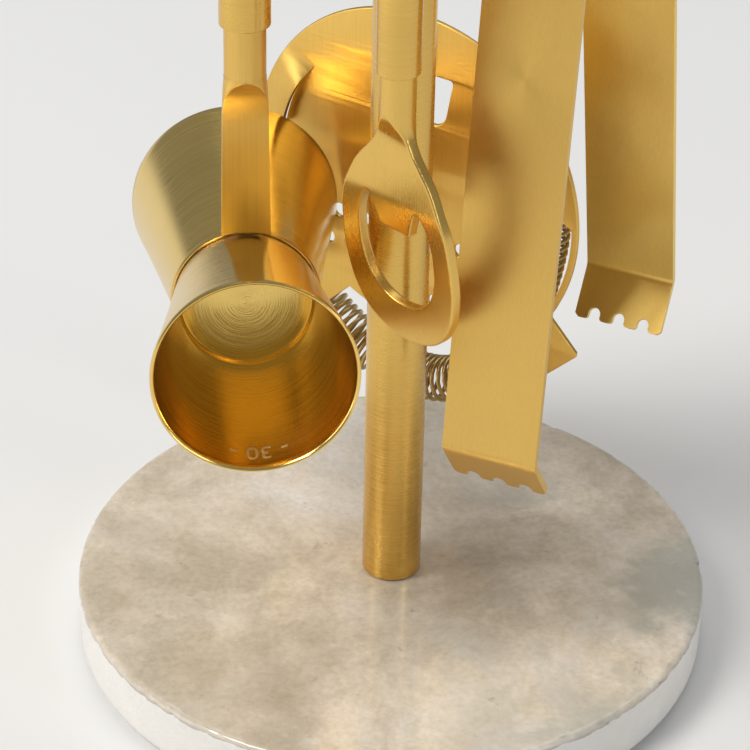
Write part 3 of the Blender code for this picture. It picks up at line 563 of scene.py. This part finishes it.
def build_post():
    """Post tube, hub, pegs and finial, all turned."""
    low = BASE_TOP + GAP
    tube = filleted([
        (POST_BORE, POST_TOP), (POST_RADIUS, POST_TOP), (POST_RADIUS, low), (POST_BORE, low)],
        0.45, 4, closed=True)
    piece("post_tube", lathe(tube, 128, closed=True), "stand", TURNED, nodes=["post"])

    low, spigot = POST_TOP + GAP, POST_BORE - GAP
    collar = filleted([
        (HUB_BORE, HUB_TOP), (HUB_RADIUS, HUB_TOP), (HUB_RADIUS, low), (spigot, low),
        (spigot, POST_TOP - SPIGOT_LENGTH), (HUB_BORE, POST_TOP - SPIGOT_LENGTH)], 1.6, 6, closed=True)
    piece("hub_collar", lathe(collar, 96, closed=True), "stand", TURNED, nodes=["top_hub"])

    tools = {"jigger": JIGGER_PEG, "opener": OPENER_PEG, "strainer": STRAINER_PEG, "tongs": TONGS_PEG}
    ball = [(PEG_BALL * math.sin(math.radians(a)), PEG_LENGTH + PEG_BALL * math.cos(math.radians(a)))
            for a in range(0, 139, 6)]
    shaft = ball + [(PEG_RADIUS, 5.4), (PEG_RADIUS - 0.4, 5.0), (0, 5.0)]
    for tool, (angle, _) in tools.items():
        place = shift(0, 0, PEG_Z) @ turn("Z", angle) @ turn("Y", 90)
        piece(f"{tool}_peg", lathe(shaft, 40), "stand", TURNED, place, [f"peg_{tool}"])

    low = HUB_TOP + GAP
    knob = [(8.6 * math.sin(math.radians(a)), low + 13.0 + 7.0 * math.cos(math.radians(a)))
            for a in range(0, 151, 6)]
    stem = smooth_keys([knob[-1], (4.0, low + 4.5), (4.4, low + 2.5), (6.6, low + 1.6),
                        (7.0, low + 0.8), (6.6, low)], 5)
    foot = [(STUD_RADIUS, low), (STUD_RADIUS, HUB_TOP - STUD_LENGTH), (0, HUB_TOP - STUD_LENGTH)]
    piece("finial_knob", lathe(knob + stem[1:] + foot, 96), "stand", TURNED, nodes=["finial"])


# ---------------------------------------------------------------- parts every handle has

def hanging_ring(tool, peg):
    """Wire ring across the peg."""
    section = [(RING_MAJOR + RING_MINOR * math.cos(2 * math.pi * i / 20),
                RING_MINOR * math.sin(2 * math.pi * i / 20)) for i in range(20)]
    place = peg_place(peg, RING_Z) @ turn("Z", peg[0]) @ turn("Y", 90)
    piece(f"{tool}_hang_ring", lathe(section, 72, closed=True), f"{tool}_ring",
          TURNED, place, [f"{tool}_ring"])


def grip(tool, size, place):
    """Sleeve of a handle, and its end cap with the eye."""
    radius, bottom = size
    bore = radius - SLEEVE_WALL
    low, high = bottom - PIVOT_Z, GRIP_TOP - PIVOT_Z
    sleeve = filleted([(bore, high), (radius, high), (radius, low), (bore, low)], 0.25, 4, closed=True)
    piece(f"{tool}_sleeve", lathe(sleeve, 96, closed=True), tool, TURNED, place,
          [f"{tool}_grip"])
    seat, plug = high + GAP, bore - GAP
    cap = filleted([
        (0, seat + CAP_HEIGHT), (2.2, seat + CAP_HEIGHT), (radius - 0.4, seat + 1.3), (radius, seat),
        (plug, seat), (plug, seat - PLUG_LENGTH), (0, seat - PLUG_LENGTH)], 0.8, 5)
    hole_z = RING_MINOR + GAP - EYE_HOLE
    foot = seat + 1.0
    outline = [(-EYE_RADIUS, foot)] + arc(EYE_RADIUS, 180, 0, 33, (0.0, hole_z)) + [(EYE_RADIUS, foot)]
    hole = arc(EYE_HOLE, 0, 348.75, 32, (0.0, hole_z))
    eye = plate([outline, hole], EYE_THICKNESS, 0.35)
    piece(f"{tool}_cap", joined(lathe(cap, 64), eye), tool, TURNED, place,
          [f"{tool}_end_cap"])


# ---------------------------------------------------------------- jigger

def wall_radius(rim_radius, share):
    """Outer radius of a cup at a share of the way from its waist to its rim: a slight flare."""
    return WAIST_RADIUS + (rim_radius - WAIST_RADIUS) * (0.9 * share + 0.1 * share * share)


def cup_bmesh(size):
    """Spun cup: flared wall with a rolled lip, and a floor disc set in a shallow groove."""
    rim_radius, length = size
    floor, inner_floor = 0.25, 1.35

    def radius_at(z):
        return wall_radius(rim_radius, (z - floor) / (length - floor))

    steps, start = 28, inner_floor + 0.9
    heights = [start + (length - 0.5 - inner_floor - 0.9) * i / steps for i in range(steps + 1)]
    inner = [(radius_at(z) - CUP_WALL, z) for z in heights]
    outer = [(radius_at(z), z) for z in reversed(heights)]
    lip = [(rim_radius - CUP_WALL + 0.16, length - 0.12), (rim_radius - CUP_WALL / 2, length),
           (rim_radius - 0.16, length - 0.12)]
    disc = inner[0][0] - 0.9
    bottom = [(0, inner_floor), (disc * 0.4, inner_floor), (disc * 0.8, inner_floor),
              (disc - 0.5, inner_floor), (disc - 0.1, inner_floor - 0.22),
              (disc + 0.25, inner_floor - 0.22), (disc + 0.45, inner_floor + 0.12),
              (disc + 0.75, inner_floor + 0.40)]
    foot = [(WAIST_RADIUS + 0.12, floor + 0.9), (WAIST_RADIUS - 0.05, floor + 0.35),
            (WAIST_RADIUS - 0.5, floor), (0, floor)]
    return lathe(bottom + inner + lip + outer + foot, 160)


def numeral():
    """Etched measure, 30, on the small cup's inner wall by its rim, its top towards the rim."""
    rim_radius, length = SMALL_CUP
    text = bpy.data.curves.new("numeral", "FONT")
    text.body = "- 30 -"
    text.align_x = "CENTER"
    text.size = NUMERAL_SIZE
    text.extrude = NUMERAL_DEPTH
    text.resolution_u = 6
    bm = curve_mesh(text)
    for vert in bm.verts:
        height = NUMERAL_HEIGHT + vert.co.y
        radius = wall_radius(rim_radius, height / length) - CUP_WALL
        angle = math.radians(NUMERAL_ANGLE) - vert.co.x / radius
        radius -= vert.co.z
        vert.co = (radius * math.cos(angle), radius * math.sin(angle), height)
    return bm


def build_jigger():
    """Handle milled flat into a strip, two cups back to back and the band at their waist."""
    hanging_ring("jigger", JIGGER_PEG)
    upright = peg_place(JIGGER_PEG, PIVOT_Z) @ turn("X", -JIGGER_LEAN)
    grip("jigger", JIGGER_GRIP, upright)
    waist = WAIST_HEIGHT - PIVOT_Z
    cups = upright @ shift(0, 0, waist) @ turn("Z", JIGGER_YAW)

    keys = [(-42.0, 3.8, 3.8, 2.0, 4.4), (-43.0, 4.25, 4.25, 2.0, 4.4), (-62.0, 4.25, 4.25, 2.0, 4.4),
            (-79.5, 4.25, 4.25, 2.0, 4.35), (-80.8, 4.3, 4.25, 2.0, 4.28), (-81.8, 4.35, 4.25, 2.1, 3.75),
            (-83.0, 4.45, 4.2, 2.3, 3.05), (-84.6, 4.55, 4.2, 2.7, 2.4), (-86.6, 4.62, 4.1, 3.2, 1.93),
            (-89.0, 4.68, 4.05, 3.8, 1.65), (-92.0, 4.73, 4.0, 4.4, 1.53), (-100.0, 4.8, 4.0, 5.0, 1.5),
            (waist + 15.6, 5.05, 4.0, 6.0, 1.5), (waist + 11.0, 5.1, 4.0, 6.0, 1.5)]
    bar = flattened_bar(keys, 96)
    foot, cut_axis = waist + SHANK_FOOT, turn("X", -(CUP_TILT - JIGGER_LEAN))
    for vert in bar.verts:
        if vert.co.z < foot:
            low = waist + math.sqrt(max((WAIST_RADIUS + 1.3) ** 2 - vert.co.x ** 2, 0.0))
            low += (cut_axis @ Vector((0, vert.co.y, 0))).z
            share = (foot - vert.co.z) / SHANK_BLEND
            vert.co.z = foot * (1 - share) + low * share
    piece("jigger_shank", bar, "jigger", STRIP,
          upright @ turn("Z", JIGGER_YAW), ["jigger_handle"], sharp=30)

    forward = 90 - (CUP_TILT - JIGGER_LEAN)
    piece("small_cup", cup_bmesh(SMALL_CUP), "jigger", SPUN,
          cups @ turn("X", forward), ["jigger_small_cup"])
    piece("large_cup", cup_bmesh(LARGE_CUP), "jigger", SPUN,
          cups @ turn("X", forward - 180), ["jigger_large_cup"])
    piece("small_cup_numeral", numeral(), "jigger", ETCHED,
          cups @ turn("X", forward))
    inner = WAIST_RADIUS + GAP
    band = filleted([(inner, 1.1), (inner + 0.25, 1.1), (inner + 0.6, 0.0), (inner + 0.25, -1.1),
                     (inner, -1.1)], 0.5, 5, closed=True)
    piece("waist_band", lathe(band, 160, closed=True), "jigger", TURNED,
          cups @ turn("X", forward), ["jigger_waist_ring"])


# ---------------------------------------------------------------- opener

def build_opener():
    """Round neck milled flat into the bent-back head, with its hole and tongue, as one skin."""
    hanging_ring("opener", OPENER_PEG)
    grip("opener", OPENER_GRIP, peg_place(OPENER_PEG, PIVOT_Z))
    place = peg_place(OPENER_PEG, PIVOT_Z) @ turn("Z", -OPENER_YAW)

    half = [(3.3, 144.0), (4.8, 141.5), (7.0, 138.8), (10.0, 135.0), (12.1, 131.0), (14.1, 126.0),
            (15.0, 119.5), (15.1, 113.0), (14.2, 107.0), (12.9, 103.2), (10.4, 99.3), (6.2, 96.4)]
    outline = closed_smooth(half + [(0.0, 95.0)] + [(-x, z) for x, z in reversed(half)], 8)
    half = [(4.5, 105.0), (7.5, 107.5), (8.9, 110.3), (9.9, 114.0), (10.1, 118.0), (9.8, 122.0),
            (8.7, 125.8), (7.4, 128.2), (6.5, 128.5), (5.8, 127.4), (4.9, 124.8), (4.2, 122.6),
            (3.6, 122.1)]
    hole = closed_smooth([(0.0, 104.0)] + half + [(-x, z) for x, z in reversed(half)], 8)
    lower = [[(x, z - PIVOT_Z) for x, z in points] for points in (outline, hole)]
    head = plate(lower, OPENER_THICKNESS, 0.25)
    bend = BEND_Z - PIVOT_Z
    rows(head, [bend + BEND_REACH * k / 3 for k in range(-3, 4)])
    for vert in head.verts:
        below = bend - vert.co.z
        soft = (max(below + BEND_REACH, 0.0)) ** 2 / (4 * BEND_REACH)
        vert.co.y += BEND_SLOPE * (below if below > BEND_REACH else soft)
    neck = flattened_bar([
        (-44.0, 3.2, 3.2, 2.0, 3.7), (-44.5, 3.6, 3.6, 2.0, 3.7), (-60.0, 3.6, 3.6, 2.0, 3.7),
        (-72.5, 3.6, 3.6, 2.0, 3.65), (-74.8, 3.6, 3.6, 2.0, 3.5), (-76.5, 3.65, 3.6, 2.0, 2.9),
        (-78.5, 3.9, 3.6, 2.2, 1.9), (-80.5, 4.6, 3.5, 2.5, 1.35), (-84.0, 6.6, 3.4, 3.0, 1.18)], 64)
    piece("opener_blade", melted(joined(head, neck), 0.2, 7), "opener",
          HEAD, place, ["opener_head"], sharp=180)


# ---------------------------------------------------------------- tongs

def ribbon(path, columns, teeth=False):
    """Tongs' strip along a path of (x, z) points, its width along Y; teeth cuts notches in its far end."""
    bm = bmesh.new()
    count, half = len(path), STRIP_WIDTH / 2
    lengths = [0.0]
    for (ax, az), (bx, bz) in zip(path, path[1:]):
        lengths.append(lengths[-1] + math.hypot(bx - ax, bz - az))
    total = lengths[-1]

    def at(s):
        for i in range(count - 1):
            if s <= lengths[i + 1] or i == count - 2:
                t = (s - lengths[i]) / (lengths[i + 1] - lengths[i])
                (ax, az), (bx, bz) = path[i], path[i + 1]
                along = Vector((bx - ax, bz - az)).normalized()
                return Vector((ax + (bx - ax) * t, az + (bz - az) * t)), along

    centres = [NOTCH_PITCH * k for k in (-1, 0, 1)] if teeth else []
    edges = [c + side * NOTCH_HALF_WIDTH for c in centres for side in (-1, 1)] + [-half, half]

    def reach(y):
        for centre in centres:
            away = abs(y - centre)
            if away <= NOTCH_HALF_WIDTH:
                return total - (NOTCH_DEPTH - NOTCH_HALF_WIDTH
                                + math.sqrt(NOTCH_HALF_WIDTH ** 2 - away ** 2))
        side = min(abs(y - edge) for edge in edges) if teeth else TOOTH_ROUND
        inset = TOOTH_ROUND - min(side, TOOTH_ROUND)
        return total - (TOOTH_ROUND - math.sqrt(TOOTH_ROUND ** 2 - inset ** 2))

    across = [-half + STRIP_WIDTH * i / columns for i in range(columns + 1)]
    for centre in centres:
        across += [centre + side * NOTCH_HALF_WIDTH * k for side in (-1, 1)
                   for k in (1.0, 0.97, 0.87, 0.7, 0.5, 0.25)]
        across += [centre + side * (NOTCH_HALF_WIDTH + k) for side in (-1, 1)
                   for k in (0.01, 0.08, 0.2, 0.4, 0.8)]
    across = sorted(set(round(min(max(y, -half), half), 3) for y in across))
    stations = sorted(set([round(s, 3) for s in lengths] + [round(total * i / 60, 3) for i in range(61)]))
    toothed = total - TOOTH_REACH
    stations = [s for s in stations if s < toothed] + [toothed, toothed + 1.0, toothed + 2.0, total]
    grid = []
    for y in across:
        end = reach(y)
        column = []
        for s in stations:
            near = max(0.0, (s - toothed) / TOOTH_REACH)
            centre, along = at(s - near * (total - end))
            column.append((Vector((centre.x, y, centre.y)), Vector((-along.y, 0, along.x))))
        grid.append(column)
    sides = []
    for sign in (0.5, -0.5):
        sides.append([[bm.verts.new(co + out * sign * STRIP_THICKNESS) for co, out in column]
                      for column in grid])
    front, back = sides
    wide, long = len(across) - 1, len(stations) - 1
    for i in range(wide):
        for j in range(long):
            bm.faces.new((front[i][j], front[i + 1][j], front[i + 1][j + 1], front[i][j + 1]))
            bm.faces.new((back[i][j], back[i][j + 1], back[i + 1][j + 1], back[i + 1][j]))
    for j in range(long):
        for i in (0, wide):
            bm.faces.new((front[i][j], front[i][j + 1], back[i][j + 1], back[i][j]))
    for i in range(wide):
        for j in (0, long):
            bm.faces.new((front[i][j], front[i + 1][j], back[i + 1][j], back[i][j]))
    return bm


def soften_edges(obj):
    """Round a piece's sharp edges."""
    bevel = obj.modifiers.new("Soft edges", "BEVEL")
    bevel.width = 0.22 * MM
    bevel.segments = 3
    bevel.limit_method = "ANGLE"
    bevel.angle_limit = math.radians(50.0)


def build_tongs():
    """Bow and two arms with toothed lips."""
    place = (peg_place(TONGS_PEG, PEG_Z) @ turn("Z", 90 - TONGS_YAW) @ turn("X", -TONGS_LEAN)
             @ shift(0, 0, -PEG_Z))
    slope = math.degrees(math.atan2(ARM_END[0] - ARM_START[0], ARM_START[1] - ARM_END[1]))
    hinge = Vector((BOW_RADIUS * math.cos(math.radians(slope)),
                    BOW_CENTRE_Z + BOW_RADIUS * math.sin(math.radians(slope))))
    bow = [(x, z + BOW_CENTRE_Z) for x, z in arc(BOW_RADIUS, slope + 1.2, 180 - slope - 1.2, 49)]
    soften_edges(piece("tongs_spring_bow", ribbon(bow, 12), "tongs", STRIP, place,
                       ["tongs_bow"]))
    corner, lip_end = Vector(ARM_END), Vector(LIP_END)
    down, lip = (corner - hinge), (lip_end - corner)
    start, end = corner - down.normalized() * BEND_FILLET, corner + lip.normalized() * BEND_FILLET
    path = [hinge + down * 0.002] + [hinge + down * t for t in (0.3, 0.6, 0.9)]
    for step in range(9):
        t = step / 8
        path.append(start * (1 - t) ** 2 + corner * 2 * t * (1 - t) + end * t * t)
    path.append(lip_end)
    for name, side, body in (("tongs_arm_front", -1, "tongs_front"), ("tongs_arm_rear", 1, "tongs_rear")):
        arm = ribbon([(side * p.x, p.y) for p in path], 24, teeth=True)
        # The rear arm gets the lighter copy of the same gold: painted light.
        look = STRIP if side < 0 else REAR_STRIP_PAINTED_LIGHT
        soften_edges(piece(f"{name}_strip", arm, body, look, place, [name]))


# ---------------------------------------------------------------- strainer

def plate_outlines():
    """Outline and holes of the strainer's plate."""
    low, high = WINDOW_ANGLES
    spread = math.degrees(math.asin(EAR_HALF_WIDTH / PLATE_RADIUS))
    axis = Vector((math.cos(math.radians(EAR_ANGLE)), math.sin(math.radians(EAR_ANGLE))))
    side = Vector((-axis.y, axis.x)) * EAR_HALF_WIDTH
    mouth = math.degrees(math.asin(EAR_HALF_WIDTH / MOUTH_RADIUS))
    right = arc(MOUTH_RADIUS, -90, EAR_ANGLE - mouth, 16)
    right += [tuple(axis * (EAR_REACH - 0.7) - side), tuple(axis * EAR_REACH - side * 0.93),
              tuple(axis * EAR_REACH + side * 0.93), tuple(axis * (EAR_REACH - 0.7) + side)]
    right += arc(PLATE_RADIUS, EAR_ANGLE + spread, low, 6)
    for angle in (low + 0.5 + (high - low - 1.0) * i / 47 for i in range(48)):
        radius = WINDOW_RADIUS[0] + (WINDOW_RADIUS[1] - WINDOW_RADIUS[0]) * widening(angle)
        right.append((radius * math.cos(math.radians(angle)), radius * math.sin(math.radians(angle))))
    right += arc(PLATE_RADIUS, high, 90, 40)
    outline = right + [(-x, z) for x, z in reversed(right[1:-1])]
    opening = [(-9.6, 28.4), (9.6, 28.4), (9.0, 25.6)] + arc(3.6, -8, -82, 10, (4.4, 20.2))
    opening += arc(3.6, -98, -172, 10, (-4.4, 20.2)) + [(-9.0, 25.6)]
    outlines = [outline, filleted(opening, 1.2, 4, closed=True)]
    for row, count in HOLE_ROWS:
        for i in range(count):
            x = (i - (count - 1) / 2) * HOLE_PITCH
            outlines.append(arc(HOLE_RADIUS, 0, 348.75, 32, (x, row)))
    return outlines


def widening(angle):
    """Share of the rim strip's full width at an angle round the plate: none low, all of it high."""
    share = min(max((angle - 2.0) / 9.0, 0.0), 1.0)
    return share * share * (3 - 2 * share)


def rim_strip(mirror):
    """Rim beside a window: narrow and flat below, above a wide louvre with a raised inner edge.

    It is a little thinner than the plate, so that their faces don't coincide where they overlap.
    """
    low, high = WINDOW_ANGLES
    half = PLATE_THICKNESS / 2
    rings = []
    for i in range(81):
        angle = low - 4 + (high - low + 8) * i / 80
        wide = widening(angle)
        end = min((high + 4 - angle) / 11.0, 1.0)
        lift = STRIP_LIFT * wide * end * end * (3 - 2 * end)
        inner = STRIP_INNER[0] + (STRIP_INNER[1] - STRIP_INNER[0]) * wide
        outer = PLATE_RADIUS - 0.05
        section = filleted([(inner, half - lift), (outer, half), (outer, -half),
                            (inner, -half - lift)], 0.25, 3, closed=True)
        cos, sin = math.cos(math.radians(angle)), math.sin(math.radians(angle))
        rings.append([(radius * cos * (-1 if mirror else 1), depth * 0.98, radius * sin)
                      for radius, depth in section])
    return skin(rings)


def coil_points():
    """Centre line of the coil: a helix wound round a curve that sags behind and below the plate."""
    per_turn, window = 20, 12
    back = PLATE_THICKNESS / 2 + GAP + COIL_RADIUS + COIL_WIRE
    keys = [(radius * math.cos(math.radians(angle)), back, radius * math.sin(math.radians(angle)))
            for angle, radius in COIL_SPINE]
    path = [Vector(point) for point in smooth_keys(keys, 40)]
    lengths = [0.0]
    for a, b in zip(path, path[1:]):
        lengths.append(lengths[-1] + (b - a).length)
    points = []
    span = 0
    for i in range(COIL_TURNS * per_turn + 1):
        reach = lengths[-1] * i / (COIL_TURNS * per_turn)
        while span < len(path) - 2 and lengths[span + 1] < reach:
            span += 1
        part = (reach - lengths[span]) / (lengths[span + 1] - lengths[span])
        centre = path[span].lerp(path[span + 1], part)
        around = (path[min(span + window, len(path) - 1)] - path[max(span - window, 0)]).normalized()
        out = around.cross(Vector((0, 1, 0))).normalized()
        phase = 2 * math.pi * i / per_turn
        offset = out * math.cos(phase) + out.cross(around) * math.sin(phase)
        points.append(centre + offset * COIL_RADIUS)
    return points


def curl(height):
    """How far the strainer's plate curls forward at a height above its centre."""
    share = max(height - CURL_START, 0.0) / (PLATE_RADIUS - CURL_START)
    return PLATE_CURL * min(share, 1.0) ** 2


def build_strainer():
    """Handle, riveted plate with rim strips and the coil spring behind it."""
    hanging_ring("strainer", STRAINER_PEG)
    grip("strainer", STRAINER_GRIP, peg_place(STRAINER_PEG, PIVOT_Z))
    face = (peg_place(STRAINER_PEG, PIVOT_Z) @ turn("Z", -STRAINER_YAW)
            @ shift(0, 0, PLATE_CENTRE_Z - PIVOT_Z))
    disc = joined(plate(plate_outlines(), PLATE_THICKNESS, 0.3), rim_strip(False), rim_strip(True))
    rows(disc, [CURL_START + 1.5 * k for k in range(18)])
    for vert in disc.verts:
        vert.co.y -= curl(vert.co.z)
    piece("strainer_disc", disc, "strainer", PLATE, face, ["strainer_plate"])
    piece("strainer_spring", wire(coil_points(), COIL_WIRE), "strainer", WIRE,
          face, ["strainer_coil"], sharp=180)

    foot_y = -(PLATE_THICKNESS / 2 + 0.25 + NECK_HALF_DEPTH)
    top = GRIP_TOP - PLATE_CENTRE_Z - 30
    rings = []
    keys = [(top, 0.0, 3.4, 3.4, 2.0), (top - 0.5, 0.0, 3.8, 3.8, 2.0),
            (NECK_ROUND_END, 0.0, 3.8, 3.8, 2.0),
            (50.5, 0.0, 3.8, 3.3, 2.2), (47.5, foot_y * 0.5, 3.9, 2.2, 2.6), (44.0, foot_y, 4.0, 1.1, 4.0),
            (41.0, foot_y, 4.0, NECK_HALF_DEPTH, 6.0), (30.6, foot_y, 4.0, NECK_HALF_DEPTH, 6.0),
            (29.6, foot_y, 3.2, NECK_HALF_DEPTH, 4.0)]
    for z, y, half_width, half_depth, squareness in smooth_keys(keys, 6):
        follow = curl(z) * min(max((NECK_ROUND_END - z) / 8.0, 0.0), 1.0)
        ring = squared_ring(half_width, half_depth, squareness, 64)
        rings.append([(x, y + side - follow, z) for x, side in ring])
    piece("strainer_neck", skin(rings), "strainer", TURNED, face, ["strainer_shank"],
          sharp=50)
    reach = (PLATE_THICKNESS / 2 - (foot_y - NECK_HALF_DEPTH)) / 2 + 0.3
    middle = (PLATE_THICKNESS / 2 + foot_y - NECK_HALF_DEPTH) / 2
    for name, z in zip(("strainer_rivet_lower", "strainer_rivet_upper"), RIVET_Z):
        dome = smooth_keys([(0, reach + 0.9), (1.1, reach + 0.8), (1.9, reach + 0.3),
                            (RIVET_RADIUS, reach)], 5)
        under = [(r, -z2) for r, z2 in reversed(dome)]
        piece(f"{name}_head", lathe(dome + [(1.0, reach), (1.0, -reach)] + under, 32), "strainer",
              TURNED, face @ shift(0, middle - curl(z), z) @ turn("X", 90), [name])


# ---------------------------------------------------------------- studio

def area_light(name, place, aim, size, power, colour=(1.0, 1.0, 1.0)):
    """Soft rectangular light aimed at a point, in metres and watts."""
    light = bpy.data.lights.new(name, "AREA")
    light.shape = "RECTANGLE"
    light.size, light.size_y = size
    light.energy = power
    light.color = colour
    obj = bpy.data.objects.new(name, light)
    bpy.context.scene.collection.objects.link(obj)
    obj.location = place
    obj.rotation_euler = (Vector(aim) - Vector(place)).to_track_quat("-Z", "Y").to_euler()


def build_studio():
    """Pale floor, soft sky and four large lights."""
    bm = bmesh.new()
    bmesh.ops.create_grid(bm, x_segments=4, y_segments=4, size=6.0)
    mesh = bpy.data.meshes.new("floor")
    bm.to_mesh(mesh)
    bm.free()
    floor = bpy.data.objects.new("floor", mesh)
    bpy.context.scene.collection.objects.link(floor)
    n = Nodes("floor_paper")
    n.set(Base_Color=(0.86, 0.855, 0.84, 1.0), Roughness=0.75, Specular_IOR_Level=0.2)
    mesh.materials.append(n.material)

    world = bpy.data.worlds.new("studio")
    bpy.context.scene.world = world
    world.use_nodes = True
    background = world.node_tree.nodes["Background"]
    background.inputs[0].default_value = (0.93, 0.96, 1.0, 1.0)
    background.inputs[1].default_value = 0.27

    area_light("key", (-1.45, -0.80, 2.2), (0.0, 0.0, 0.08), (1.0, 1.0), 42.0, (1.0, 0.985, 0.96))
    area_light("overhead", (0.1, 0.75, 1.5), (0.0, 0.0, 0.1), (1.3, 0.8), 5.5)
    area_light("left_panel", (-1.2, -0.3, 0.35), (0.0, 0.0, 0.1), (0.5, 0.9), 4.0)
    area_light("right_panel", (1.1, -0.9, 0.7), (0.0, 0.0, 0.1), (0.35, 0.9), 3.5)


def build_camera():
    """Camera: a long lens from the front, looking down on the tools."""
    elevation, roll = math.radians(CAMERA_TILT), CAMERA_ROLL
    right, up = Vector((1, 0, 0)), Vector((0, math.sin(elevation), math.cos(elevation)))
    forward = Vector((0, math.cos(elevation), -math.sin(elevation)))
    side = right * math.cos(roll) + up * math.sin(roll)
    over = up * math.cos(roll) - right * math.sin(roll)
    data = bpy.data.cameras.new("camera")
    data.sensor_width = SENSOR
    data.lens = LENS
    camera = bpy.data.objects.new("camera", data)
    bpy.context.scene.collection.objects.link(camera)
    place = Matrix((side, over, -forward)).transposed().to_4x4()
    place.translation = Vector(CAMERA_PLACE) * MM
    camera.matrix_world = place
    data.clip_start, data.clip_end = 0.05, 20.0
    bpy.context.scene.camera = camera


build_base()
build_post()
build_jigger()
build_opener()
build_tongs()
build_strainer()
build_studio()
build_camera()
bpy.context.scene.view_settings.view_transform = "Standard"
